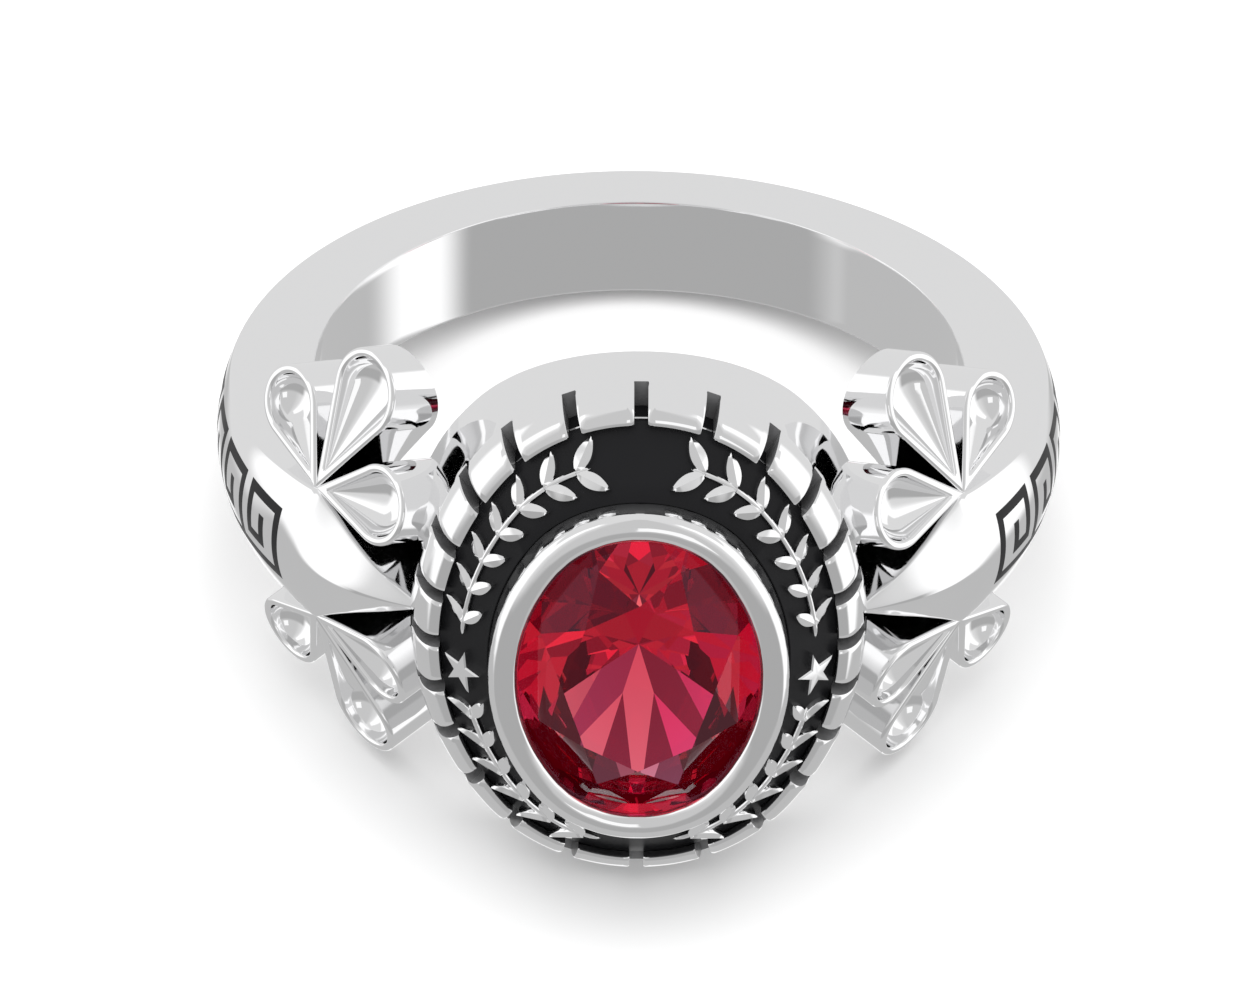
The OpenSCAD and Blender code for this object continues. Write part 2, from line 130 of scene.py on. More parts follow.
def polishGroup():
    # Hand polish: faint crossing scratches and a soft unevenness of the gloss
    group = bpy.data.node_groups.new("polishMarks", "ShaderNodeTree")
    face = group.interface
    for label, value in (("Scratches", 0.04), ("Roughness low", 0.04), ("Roughness high", 0.12)):
        socket = face.new_socket(label, in_out="INPUT", socket_type="NodeSocketFloat")
        socket.default_value = value
    face.new_socket("Roughness", in_out="OUTPUT", socket_type="NodeSocketFloat")
    face.new_socket("Normal", in_out="OUTPUT", socket_type="NodeSocketVector")
    nodes, links = group.nodes, group.links
    given, out = nodes.new("NodeGroupInput"), nodes.new("NodeGroupOutput")
    place = nodes.new("ShaderNodeTexCoord")
    crossing = nodes.new("ShaderNodeMath")
    crossing.operation = "ADD"
    for k, turn in enumerate(polishLook["turns"]):
        turned = nodes.new("ShaderNodeMapping")
        turned.inputs["Rotation"].default_value = (turn, 0.4, turn)
        turned.inputs["Scale"].default_value = polishLook["stretch"]
        noise = nodes.new("ShaderNodeTexNoise")
        noise.inputs["Scale"].default_value = 1
        noise.inputs["Detail"].default_value = 2
        links.new(place.outputs["Object"], turned.inputs["Vector"])
        links.new(turned.outputs["Vector"], noise.inputs["Vector"])
        links.new(noise.outputs["Fac"], crossing.inputs[k])
    bump = nodes.new("ShaderNodeBump")
    bump.inputs["Distance"].default_value = polishLook["depth"]
    links.new(given.outputs["Scratches"], bump.inputs["Strength"])
    links.new(crossing.outputs[0], bump.inputs["Height"])
    cloud = nodes.new("ShaderNodeTexNoise")
    cloud.inputs["Scale"].default_value = polishLook["patches"]
    cloud.inputs["Detail"].default_value = 4
    links.new(place.outputs["Object"], cloud.inputs["Vector"])
    spread = nodes.new("ShaderNodeMapRange")
    spread.inputs["From Min"].default_value = polishLook["patchRange"][0]
    spread.inputs["From Max"].default_value = polishLook["patchRange"][1]
    links.new(cloud.outputs["Fac"], spread.inputs["Value"])
    links.new(given.outputs["Roughness low"], spread.inputs["To Min"])
    links.new(given.outputs["Roughness high"], spread.inputs["To Max"])
    links.new(spread.outputs["Result"], out.inputs["Roughness"])
    links.new(bump.outputs["Normal"], out.inputs["Normal"])
    return group


polish = polishGroup()


def addPolish(nodes, links, shader, look):
    marks = nodes.new("ShaderNodeGroup")
    marks.node_tree = polish
    marks.inputs["Scratches"].default_value = look["scratches"]
    marks.inputs["Roughness low"].default_value = look["roughness"][0]
    marks.inputs["Roughness high"].default_value = look["roughness"][1]
    links.new(marks.outputs["Roughness"], shader.inputs["Roughness"])
    links.new(marks.outputs["Normal"], shader.inputs["Normal"])


silverLook = {"colour": (0.93, 0.93, 0.935, 1), "scratches": 0.05, "roughness": (0.03, 0.07)}


def polishedSilver():
    material, nodes, links, shader = newMaterial("polishedSilver")
    shader.inputs["Base Color"].default_value = silverLook["colour"]
    shader.inputs["Metallic"].default_value = 1
    addPolish(nodes, links, shader, silverLook)
    return material


# Painted shade: the darker silver that stands in for the shade inside the notches
notchShadeLook = {
    "dark": (0.13, 0.13, 0.132, 1),
    "light": (0.24, 0.24, 0.245, 1),
    "patches": 1500,
    "patchRange": (0.3, 0.75),
    "metallic": 0.2,
    "scratches": 0.3,
    "roughness": (0.22, 0.4),
}


def notchShadeSilver():
    # Painted shade in the notches: darker silver stands in for the shade there, with paler patches at random
    material, nodes, links, shader = newMaterial("notchShadeSilver")
    place, cloud = nodes.new("ShaderNodeTexCoord"), nodes.new("ShaderNodeTexNoise")
    cloud.inputs["Scale"].default_value = notchShadeLook["patches"]
    links.new(place.outputs["Object"], cloud.inputs["Vector"])
    shades = nodes.new("ShaderNodeValToRGB")
    for k, shade in enumerate(("dark", "light")):
        shades.color_ramp.elements[k].position = notchShadeLook["patchRange"][k]
        shades.color_ramp.elements[k].color = notchShadeLook[shade]
    links.new(cloud.outputs["Fac"], shades.inputs["Fac"])
    links.new(shades.outputs["Color"], shader.inputs["Base Color"])
    shader.inputs["Metallic"].default_value = notchShadeLook["metallic"]
    addPolish(nodes, links, shader, notchShadeLook)
    return material


enamelLook = {
    "colour": (0.009, 0.009, 0.01, 1),
    "specular": 0.14,
    "scratches": 0.2,
    "roughness": (0.3, 0.42),
}


def blackEnamel():
    material, nodes, links, shader = newMaterial("blackEnamel")
    shader.inputs["Base Color"].default_value = enamelLook["colour"]
    shader.inputs["Specular IOR Level"].default_value = enamelLook["specular"]
    addPolish(nodes, links, shader, enamelLook)
    return material


stoneLook = {
    "ior": 1.77,
    "depthColour": (0.9, 0.02, 0.22, 1),
    "depth": 340.0,  # how fast the stone deepens in colour, per metre of light path
    "paintedGlow": (0.5, 0.0, 0.035, 1),  # a faint painted red glow, light that the stone gives off though it is no lamp
    "paintedGlowStrength": 0.03,
    "sheen": (0.42, 0.24, 0.36, 1),  # tint of what the surface mirrors
}


def redStone():
    # Each facet has its own tint of painted light or shade, and the colour deepens with the way that the
    # light goes inside
    material, nodes, links, shader = newMaterial("redStone")
    tint = nodes.new("ShaderNodeAttribute")
    tint.attribute_name = "facetPaintedLight"
    links.new(tint.outputs["Color"], shader.inputs["Base Color"])
    shader.inputs["Roughness"].default_value = 0
    shader.inputs["IOR"].default_value = stoneLook["ior"]
    shader.inputs["Transmission Weight"].default_value = 1
    shader.inputs["Specular Tint"].default_value = stoneLook["sheen"]
    # Painted glow: a faint red light given off by the stone
    shader.inputs["Emission Color"].default_value = stoneLook["paintedGlow"]
    shader.inputs["Emission Strength"].default_value = stoneLook["paintedGlowStrength"]
    depth = nodes.new("ShaderNodeVolumeAbsorption")
    depth.inputs["Color"].default_value = stoneLook["depthColour"]
    depth.inputs["Density"].default_value = stoneLook["depth"]
    links.new(depth.outputs["Volume"], nodes["Material Output"].inputs["Volume"])
    return material


# The second of these paints shade into the notches as darker silver
silver, notchShade, enamel, ruby = polishedSilver(), notchShadeSilver(), blackEnamel(), redStone()
print("materials made")


# Shank: the band with its domed face, widening into two pointed shoulders

band = {
    "middleH": 0.6,  # the outer circle's middle, towards the head
    "crestR": 11.02,
    "edgeR": 10.72,
    "halfWidth": 1.39,
    "widenH": -1.5,
    "shoulderH": 6.97,
    "shoulderHalf": 1.95,
    "tipH": 9.62,
    "tipHalf": 0.05,
    "tipAngle": 57.3,  # from the side up to a shoulder's tip, about the outer circle's middle
    "ridgeFrom": (33, 43),  # angles between which the dome turns into two flanks with a ridge
    "ridgeSoft": 0.2,  # width of the soft ridge as a share of the half width
    "edgeRound": 0.09,
    "boreRound": 0.06,
    "leastRise": 0.02,  # how far the ridge always stands above the edge
    "roundShare": 0.4,  # the most that a rounded edge takes of the half width
    "crowding": 1.4,  # power that crowds the mesh rows at the ridge
    "stations": 420,
}
# Ridge and edges of a shoulder: the angle up from the side, and the distance from the circle's middle
ridgeLine = ((30, 38, 42, 47, 52, 57.3), (11.02, 11.02, 11.0, 10.88, 10.66, 10.38))
edgeLine = ((36.3, 40, 44, 50.2, 57.3), (10.4, 10.35, 10.36, 10.42, 10.36))


def bandSection(up):
    # Half width, ridge radius and edge radius of the shank at angles up from the side
    height = band["middleH"] + band["edgeR"] * np.sin(np.radians(up))
    heights, halves = ([band[k] for k in names] for names in (
        ("widenH", "shoulderH", "tipH"), ("halfWidth", "shoulderHalf", "tipHalf")))
    half = np.interp(height, heights, halves)
    rise = band["crestR"] - band["edgeR"]
    domeR = (band["halfWidth"] ** 2 + rise ** 2) / (2 * rise)
    domeEdge = band["crestR"] - domeR + np.sqrt(domeR ** 2 - half ** 2)
    ridge = np.where(up < ridgeLine[0][0], band["crestR"], smoothThrough(up, *ridgeLine))
    edge = np.where(up < edgeLine[0][0], domeEdge, smoothThrough(up, *edgeLine))
    return half, ridge, np.minimum(edge, ridge - band["leastRise"])


def domeRadius(up, a):
    # Radius of the outer face a along the finger: the arc through both edges and the ridge, which turns
    # into a hyperbola through the same three points, so that the shoulders have two flanks
    half, ridge, edge = bandSection(up)
    rise, soft = ridge - edge, band["ridgeSoft"]
    arcR = (half ** 2 + rise ** 2) / (2 * rise)
    arc = arcR - np.sqrt(np.maximum(arcR ** 2 - a ** 2, 0))
    roof = rise * (np.sqrt((a / half) ** 2 + soft ** 2) - soft) / (sqrt(1 + soft ** 2) - soft)
    start, end = band["ridgeFrom"]
    return ridge - arc - (roof - arc) * ease(np.clip((up - start) / (end - start), 0, 1))


def roundCorner(p, q, r, n):
    # Points from p to r that round the corner at q: (1-t)^2 p + 2t(1-t) q + t^2 r, ends left out
    t = np.linspace(0, 1, n)[1:-1, None, None]
    return (1 - t) ** 2 * p + 2 * t * (1 - t) * q + t * t * r


def buildShank():
    # Sections across the band at each angle, carried from one tip round the back to the other
    n, m = band["stations"], band["middleH"]
    turn = np.linspace(band["tipAngle"], -180 - band["tipAngle"], n)
    up = np.where(turn > -90, turn, -180 - turn)
    rad = np.radians(turn)
    half, ridge, edge = bandSection(up)
    bore = -m * np.sin(rad) + np.sqrt(boreR ** 2 - (m * np.cos(rad)) ** 2)
    soft, softBore = (np.minimum(band[k], band["roundShare"] * half) for k in ("edgeRound", "boreRound"))
    across = np.linspace(0, 1, 21)[:, None] ** band["crowding"] * (half - soft)
    dome = np.stack([domeRadius(up, across), across], -1)
    sideTop, sideLow = (np.stack([r, half], -1) for r in (edge - soft, bore + softBore))
    edgePoint, borePoint = (np.stack([r, half], -1) for r in (edge, bore))
    side = sideTop + (sideLow - sideTop) * ease(np.linspace(0, 1, 9)[:, None, None])
    inner = np.stack(np.broadcast_arrays(bore, (half - softBore) * np.linspace(1, 0, 8)[:, None]), -1)
    upper = np.concatenate([dome, roundCorner(dome[-1], edgePoint, sideTop, 6), side,
                            roundCorner(sideLow, borePoint, inner[0], 5), inner])
    loop = np.concatenate([upper, upper[-2:0:-1] * np.array([1, -1])])
    r, a = loop[..., 0], loop[..., 1]
    points = toRow(r * np.cos(rad), m + r * np.sin(rad), a)
    rows = np.arange(len(loop)) * n
    return points, gridFaces(len(loop), n, wrapRows=True).tolist() + [rows.tolist(), (rows + n - 1).tolist()]


makePiece("shank", *buildShank(), [silver], "ring_casting", "silver")
print("shank made")


# Head: wall, notched rim, collar bed, bezel and the bore's side, as one shell

head = {
    "wall": (5.88, 7.35),  # half width across the finger and half length along it
    "rimH": 10.93,
    "rimRound": 0.7,
    "rimFall": 1.4,
    "rimWidth": 0.76,
    "rimBevel": 0.04,
    "rimLow": 10.5,
    "collarH": 10.66,
    "collarSlope": 39.0,
    "bedDrop": 0.25,
    "bedInset": 0.02,
    "notches": 24,
    "notchHalf": 0.182,
    "notchH": 9.9,
    "notchBevel": 0.035,
    "bevelFrom": 0.05,  # height above a notch's floor at which its sides' bevel starts
    "bevelTo": 0.4,  # inset at which the bevel has run out
    "notchEdge": 0.05,  # from a notch's side to the next column of the mesh
    "between": 9,  # columns of the mesh between two notches
    "boreBehind": 0.01,  # how far the head lies behind the shank's own face in the finger hole
}
bezel = {
    "wall": (3.87, 4.94),
    "crestH": 12.8,
    "crestIn": 0.42,  # how far the crest lies inside the bezel's outer wall
    "outerFall": 0.36,
    "lipFall": 0.26,
    "lipWidth": 0.77,
    "lipMiddle": 12.4,
    "lipLow": 12.08,
    "seatWidth": 0.34,
    "seatHigh": 11.7,
    "seatLow": 11.5,
    "lightWidth": 1.12,
    "lightHigh": 10.75,
}
# The rim's soft inner edge: distances from its inner wall and from its top, as shares of the bevel
rimEdge = np.array([[0.75, 0.1], [0.2, 0.7], [0, 1.25]])


def arcRadii(a, b):
    # A four-arc oval whose arcs meet where their normals run 4 across and 3 along
    endR = (3 * a - b) / 2
    return endR, endR + 2.5 * (b - a)


def insideOval(x, y, a, b):
    # How far points lie inside the oval: measured from the end arc's middle or the side arc's
    endR, sideR = arcRadii(a, b)
    x, y = np.abs(x), np.abs(y)
    fromEnd = y - b + endR
    return np.where(4 * fromEnd > 3 * x, endR - np.hypot(x, fromEnd), sideR - np.hypot(x - a + sideR, y))


def alongLine(turn, off, a, b, inset):
    # Where a line that leaves the middle at an angle, moved sideways by off, lies inset inside the
    # oval: found by halving the stretch that holds it
    low, high = np.zeros(np.broadcast(turn, a).shape), 9.0 + np.zeros(np.broadcast(turn, a).shape)
    for _ in range(36):
        far = (low + high) / 2
        x, y = far * np.cos(turn) - off * np.sin(turn), far * np.sin(turn) + off * np.cos(turn)
        deeper = insideOval(x, y, a, b) > inset
        low, high = np.where(deeper, far, low), np.where(deeper, high, far)
    return x, y


def collarHeight(x, y):
    # The slope rises from the foot of the rim's inner wall
    slope = tan(radians(head["collarSlope"]))
    return head["collarH"] + (insideOval(x, y, *head["wall"]) - head["rimWidth"]) * slope


def quarter(top, width, fall, n):
    # The rounding of an outer edge: a quarter of an ellipse, from the wall up to the top
    t = np.linspace(0, pi / 2, n)
    return np.stack([width * (1 - np.cos(t)), top - fall + fall * np.sin(t)], -1)


def buildHead():
    # A profile of [inset, height] is swept round both ovals along lines from the middle. Columns come
    # in pairs at a notch's sides, and those inside the notch are cut down to its floor.
    rimIn, rimH, crestH = head["rimWidth"], head["rimH"], bezel["crestH"]
    rim = np.concatenate([
        quarter(rimH, head["rimRound"], head["rimFall"], 16),
        np.array([rimIn, rimH]) - head["rimBevel"] * rimEdge,
        [[rimIn, head["rimLow"]]]])
    lip = quarter(crestH, bezel["lipWidth"] - bezel["crestIn"], bezel["lipFall"], 12)[-2::-1]
    crest = np.concatenate([
        quarter(crestH, bezel["crestIn"], bezel["outerFall"], 14),
        np.stack([bezel["lipWidth"] - lip[:, 0], lip[:, 1]], -1),
        [[bezel["lipWidth"], bezel["lipMiddle"]], [bezel["lipWidth"], bezel["lipLow"]],
         [bezel["seatWidth"], bezel["seatHigh"]], [bezel["seatWidth"], bezel["seatLow"]],
         [bezel["lightWidth"], bezel["lightHigh"]]]])

    perNotch, w = radians(360 / head["notches"]), head["notchHalf"]
    outside = w + head["notchEdge"]
    share = np.arange(1, head["between"]) / head["between"]
    # One notch's columns as [turn in notches, sideways, how deep it is cut: 0 none, 1 bevel, 2 notch]
    columns = np.concatenate([
        [[0, -outside, 0], [0, -w, 1], [0, -w, 2], [0, w, 2], [0, w, 1], [0, outside, 0]],
        np.stack([share, outside * (1 - 2 * share), 0 * share], -1)])
    turns = np.arange(head["notches"])[:, None] + columns[None, :, 0]
    turn = (turns * perNotch).reshape(-1)
    off, cut = (np.tile(columns[:, k], head["notches"]) for k in (1, 2))

    def place(oval, inset):
        return alongLine(turn, off, *oval["wall"], inset)

    def onBore(x):
        return np.sqrt((boreR + head["boreBehind"]) ** 2 - x ** 2)

    rows, heights, notched = [], [], []

    def addRow(point, height, canNotch=False):
        rows.append(point)
        heights.append(height + 0 * turn)
        notched.append(canNotch)

    wallX, wallY = place(head, 0)
    wallLow = onBore(wallX)
    wallUp = np.linspace(0, 1, 14)[:-1]
    for f in wallUp:
        addRow((wallX, wallY), wallLow + (rimH - head["rimFall"] - wallLow) * f, True)
    for inset, height in rim:
        bevelled = (cut == 1) & (height > head["notchH"] + head["bevelFrom"])
        bevel = np.where(bevelled, head["notchBevel"], 0)
        addRow(place(head, inset + bevel * max(0, 1 - inset / head["bevelTo"])), height - bevel, True)
    bedX, bedY = place(head, rimIn + head["bedInset"])
    addRow((bedX, bedY), collarHeight(bedX, bedY) - head["bedDrop"])
    baseX, baseY = place(bezel, 0)
    base = collarHeight(baseX, baseY) - head["bedDrop"]
    for f in np.linspace(0, 1, 6):
        addRow((baseX, baseY), base + (crestH - bezel["outerFall"] - base) * f)
    for inset, height in crest[1:]:
        addRow(place(bezel, inset), height)
    lightX, lightY = place(bezel, bezel["lightWidth"])
    for f in np.linspace(0, 1, 12)[:-1]:
        x, y = lightX + (wallX - lightX) * f, lightY + (wallY - lightY) * f
        addRow((x, y), onBore(x))
    x, y = (np.array([row[k] for row in rows]) for k in (0, 1))
    h = np.array(heights)
    inNotch = np.array(notched)[:, None] & (cut == 2)
    h = np.where(inNotch, np.minimum(h, head["notchH"]), h)
    faces = gridFaces(*h.shape, wrapRows=True, wrapCols=True)
    # Faces of a notch: all corners above or on its floor, between its two sides or on one of them
    rowOf, colOf = faces // h.shape[1], faces % h.shape[1]
    nearNotch = (cut[colOf] >= 1).all(1) & (cut[colOf] == 2).any(1)
    high = (h[rowOf, colOf] > head["notchH"] - 0.001).all(1) & np.array(notched)[rowOf].any(1)
    innerEnd = (rowOf >= len(wallUp) + len(rim) - 1).all(1)
    # Notch faces take the darker silver as painted shade, and those at the rim's inner end take the black
    # enamel
    return toRow(x, h, y), faces, np.where(nearNotch & high, np.where(innerEnd, 2, 1), 0)


headPoints, headFaces, headSlots = buildHead()
makePiece("head", headPoints, headFaces, [silver, notchShade, enamel], "ring_casting", "silver", slots=headSlots)
print("head made")


# Collar: the black enamel between rim and bezel

collar = {"thick": 0.15, "columns": 240, "gap": 0.01}


def buildCollar():
    # Straight lines up the slope from the rim to the bezel, and back below the surface
    turn = np.linspace(0, 2 * pi, collar["columns"], endpoint=False)
    lowX, lowY = alongLine(turn, 0, *head["wall"], head["rimWidth"] + collar["gap"])
    highX, highY = alongLine(turn, 0, *bezel["wall"], -collar["gap"])
    f = np.array([0, 0.02, 0.25, 0.5, 0.75, 0.98, 1, 1, 0])[:, None]
    under = np.array([0.02, 0, 0, 0, 0, 0, 0.02, collar["thick"], collar["thick"]])[:, None]
    x, y = lowX + (highX - lowX) * f, lowY + (highY - lowY) * f
    points = toRow(x, collarHeight(x, y) - under, y)
    return points, gridFaces(*x.shape, wrapRows=True, wrapCols=True)


makePiece("collarEnamel", *buildCollar(), [enamel], "collar_enamel", "black_enamel")
print("collar enamel made")


# Collar relief: two sprigs of leaves and a star on each side

relief = {
    "up": 0.2,
    "deep": 0.12,
    "leafLength": 1.05,
    "leafWidth": 0.46,
    "leafRoom": 1.64,  # width of the collar where a leaf has that length and width
    "leafLean": 46.0,
    "leafStep": 0.93,
    "upperPairs": 7,
    "lowerPairs": 6,
    "stemWidth": 0.15,
    "stemUp": 0.08,
    "stemPast": (0.4, 0.45),  # how far a stem runs past its first and last leaf
    "stemTaper": 0.3,
    "starR": 0.66,
    "starSquash": 0.92,
    "starDrop": 0.62,
    "starRoom": 1.0,
}
pathOval = [(head["wall"][k] - head["rimWidth"] + bezel["wall"][k]) / 2 for k in (0, 1)]
pathEndR, pathSideR = arcRadii(*pathOval)
meetAngle = atan2(3, 4)
endArc, sideArc = pathEndR * (pi / 2 - meetAngle), pathSideR * meetAngle


def pathAt(s):
    # The middle line of the collar at a length from the head's upper end: place and outward direction
    onEnd, onSide = s < endArc, s < endArc + 2 * sideArc
    phi = np.where(onEnd, pi / 2 - s / pathEndR, np.where(
        onSide, meetAngle - (s - endArc) / pathSideR, -meetAngle - (s - endArc - 2 * sideArc) / pathEndR))
    a, b = pathOval
    side = np.abs(phi) < meetAngle
    x = np.where(side, a - pathSideR + pathSideR * np.cos(phi), pathEndR * np.cos(phi))
    y = np.where(side, pathSideR * np.sin(phi), np.sign(phi) * (b - pathEndR) + pathEndR * np.sin(phi))
    return x, y, phi


def onCollar(s, across, along, up):
    # Puts points on the slope at a length s: across goes down it, along follows it, up leaves it
    x, y, phi = pathAt(s)
    tilt = radians(head["collarSlope"])
    out = across * cos(tilt) + up * sin(tilt)
    rise = up * cos(tilt) - across * sin(tilt)
    return (x + out * np.cos(phi) - along * np.sin(phi), collarHeight(x, y) + rise,
            y + out * np.sin(phi) + along * np.cos(phi))


def leafShare(s):
    # Leaves follow the collar's width: the two ovals' distances from the middle along a normal
    phi = pathAt(s)[2]
    reach = []
    for a, b in (head["wall"], bezel["wall"]):
        endR, sideR = arcRadii(a, b)
        reach.append(np.where(abs(phi) < meetAngle, sideR + (a - sideR) * np.cos(phi),
                              endR + (b - endR) * np.abs(np.sin(phi))))
    return (reach[0] - head["rimWidth"] - reach[1]) / relief["leafRoom"]


def leafGrid():
    # A leaf of length and width 1: a lens outline, closed below, with a ridge that stands highest
    t = np.linspace(0, 1, 13)[:, None]
    across = np.array([-1, -1, -0.94, -0.5, 0, 0.5, 0.94, 1, 1])[None, :]
    up = np.array([-1, 0.55, 0.68, 0.84, 1, 0.84, 0.68, 0.55, -1])[None, :]
    outline = np.sin(pi * t) ** 0.75 * (1 - 0.25 * t) / 1.75
    return t + 0 * across, outline * across, np.where(up > 0, up * relief["up"], up * relief["deep"]) + 0 * t


def buildSprigs(mirror):
    t, across, up = leafGrid()
    starS = endArc + sideArc + relief["starDrop"]
    upper = starS - relief["starRoom"] - relief["leafStep"] * (np.arange(relief["upperPairs"]) + 0.5)
    lower = starS + relief["starRoom"] + relief["leafStep"] * (np.arange(relief["lowerPairs"]) + 0.5)
    points, faces = [], []
    one = gridFaces(*t.shape, wrapCols=True)
    for s in np.concatenate([upper, lower]):
        size = leafShare(s)
        for side in (-1, 1):
            lean = radians(90 - side * relief["leafLean"])
            long, wide = t * relief["leafLength"] * size, across * relief["leafWidth"] * size
            x, h, a = onCollar(
                s, long * cos(lean) - wide * sin(lean), long * sin(lean) + wide * cos(lean), up)
            faces.append(one + t.size * len(points))
            points.append(toRow(x * mirror, h, a).reshape(-1, 3))
    count = t.size * len(points)
    # The stems: a low half-round bead along the collar under each row of leaves
    for ends in ((upper[-1], upper[0]), (lower[0], lower[-1])):
        run = np.linspace(ends[0] - relief["stemPast"][0], ends[1] + relief["stemPast"][1], 60)[:, None]
        angle = np.linspace(0, 2 * pi, 12, endpoint=False)[None, :]
        fromEnd = np.minimum(run - run[0], run[-1] - run)
        r = np.minimum(1, fromEnd / relief["stemTaper"]) ** 0.5 * relief["stemWidth"] / 2
        x, h, a = onCollar(run, r * np.cos(angle), 0, relief["stemUp"] + r * np.sin(angle))
        faces.append(gridFaces(*x.shape, wrapCols=True) + count)
        points.append(toRow(x * mirror, h, a).reshape(-1, 3))
        count += x.size
    return np.concatenate(points), np.concatenate(faces)


def buildStar(mirror):
    # A five-pointed outline, from its foot in the enamel up to a bevelled edge and its middle
    k = np.arange(10)
    reach = np.where(k % 2 == 0, 1, sin(radians(18)) / sin(radians(54))) * relief["starR"]
    share = np.array([1, 1, 0.86, 0.0])[:, None]
    up = np.array([-relief["deep"], 0.75 * relief["up"], relief["up"], 1.05 * relief["up"]])[:, None]
    angle = np.radians(36 * k)
    starS = endArc + sideArc + relief["starDrop"]
    across = -reach * share * np.cos(angle) * relief["starSquash"]
    x, h, a = onCollar(starS, across, reach * share * np.sin(angle), up)
    bottom = [list(range(10))]
    return toRow(x * mirror, h, a), gridFaces(4, 10, wrapCols=True).tolist() + bottom


for word, mirror in (("left", -1), ("right", 1)):
    makePiece(word + "Sprigs", *buildSprigs(mirror), [silver], "ring_casting", "silver", sharp=28)
    makePiece(word + "Star", *buildStar(mirror), [silver], "ring_casting", "silver", sharp=20)
print("collar relief made")


# Petals: four fans of three scooped petals, rooted beside the shoulders

fan = {
    "root": (8.4, 6.67, 1.96),
    "turn": 51.4,
    "lean": 16.6,
    "longest": 3.25,
    "roundR": 1.17,
    "rim": 0.24,
    "rimUp": 0.1,
    "scoop": 0.85,  # depth of the hollow as a share of its half width
    "depth": 3.2,
    "overlap": 0.06,
    "boreBehind": 0.02,  # how far the petals' feet lie behind the shank's own face in the finger hole
}
# Each petal: its direction in the fan's plane, and the shares of the longest length and radius
petals = {"outer": (136.2, 0.72, 0.88), "middle": (74.3, 1.0, 1.0), "inner": (14.7, 0.745, 0.92)}


def teardrop(q, length, r, start):
    # One half of a teardrop: q from 0 to 0.5 runs straight from the point to the round end, then on
    # round the end's circle to its far side at 1
    lean = asin(r / (length - start))
    tangentU, tangentV = length - r * sin(lean), r * cos(lean)
    straight = np.clip(q / 0.5, 0, 1)
    angle = (pi / 2 + lean) * (1 - np.clip((q - 0.5) / 0.5, 0, 1))
    u = np.where(q < 0.5, start + (tangentU - start) * straight, length + r * np.cos(angle))
    v = np.where(q < 0.5, tangentV * straight, r * np.sin(angle))
    return u, v


def buildPetal(direction, long, wide, acrossSign, alongSign):
    # Rows from the hollow's bottom line up to the rim, over it, down the outside and across the foot,
    # where the finger hole's cylinder cuts the petal off. Columns run round the outline.
    length, r = fan["longest"] * long, fan["roundR"] * wide
    n = 33
    q = np.concatenate([np.linspace(0, 0.5, n // 2), 0.5 + 0.5 * np.linspace(0, 1, n)[1:]])
    outerU, outerV = teardrop(q, length, r, -fan["overlap"])
    innerU, innerV = teardrop(q, length, r - fan["rim"], fan["rim"] * length / r)
    scoop = np.linspace(pi / 2, 0, 14)[:-1, None]
    crown = np.linspace(0, 1, 11)[:, None]
    mix = (1 - np.cos(pi * crown)) / 2
    u = np.concatenate([innerU + 0 * scoop, innerU + (outerU - innerU) * mix])
    v = np.concatenate([innerV * np.cos(scoop), innerV + (outerV - innerV) * mix])
    n0 = np.concatenate([-fan["rimUp"] - fan["scoop"] * innerV * np.sin(scoop),
                         -fan["rimUp"] * (1 - np.sin(pi * crown)) + 0 * innerU])

    turn, lean, d = radians(fan["turn"]), radians(fan["lean"]), radians(direction)
    e1 = np.array([cos(turn), sin(turn), 0])
    e2 = np.array([sin(lean) * sin(turn), -sin(lean) * cos(turn), cos(lean)])
    out = np.array([-sin(turn) * cos(lean), cos(turn) * cos(lean), sin(lean)])
    root = np.array(fan["root"]) * (-1, 1, 1)
    along, side = cos(d) * e1 + sin(d) * e2, -sin(d) * e1 + cos(d) * e2

    def place(u, v, up):
        return root + u[..., None] * along + v[..., None] * side + up[..., None] * out

    def footDepth(p):
        # Where a line from p against the fan's direction meets the finger hole's cylinder
        a = out[0] ** 2 + out[1] ** 2
        b = p[..., 0] * out[0] + p[..., 1] * out[1]
        c = p[..., 0] ** 2 + p[..., 1] ** 2 - (boreR + fan["boreBehind"]) ** 2
        meets = b * b - a * c
        hit = (b - np.sqrt(np.maximum(meets, 0))) / a
        return np.where((meets > 0) & (hit > 0), np.minimum(hit, fan["depth"]), fan["depth"])

    both = []
    for sign in (1, -1):
        top = place(u, sign * v, n0)
        rimEdge = place(outerU, sign * outerV, 0 * outerU)
        foot = rimEdge - footDepth(rimEdge)[:, None] * out
        steps = np.array([0.02, 0.1, 0.3, 0.6, 0.9, 1])[:, None, None]
        wall = top[-1] + (foot - top[-1]) * steps
        closing = []
        for f in (0.7, 0.35, 0.0):
            p = place(outerU, sign * outerV * f, 0 * outerU)
            closing.append(p - footDepth(p)[:, None] * out)
        both.append(np.concatenate([top, wall, np.array(closing)]))
    points = np.concatenate([both[0], both[1][:, ::-1]], axis=1)
    points = points * np.array([acrossSign, 1, alongSign])
    return toRow(points[..., 0], points[..., 1], points[..., 2]), gridFaces(*points.shape[:2], wrapCols=True)


for across, acrossSign in (("left", 1), ("right", -1)):
    for along, alongSign in (("Upper", 1), ("Lower", -1)):
        for word, shape in petals.items():
            points, faces = buildPetal(*shape, acrossSign, alongSign)
            name = across + along + "Petal." + word
            makePiece(name, points, faces, [silver], "ring_casting", "silver", sharp=40)
print("petals made")


# Side enamel: a key pattern let into the band on each side

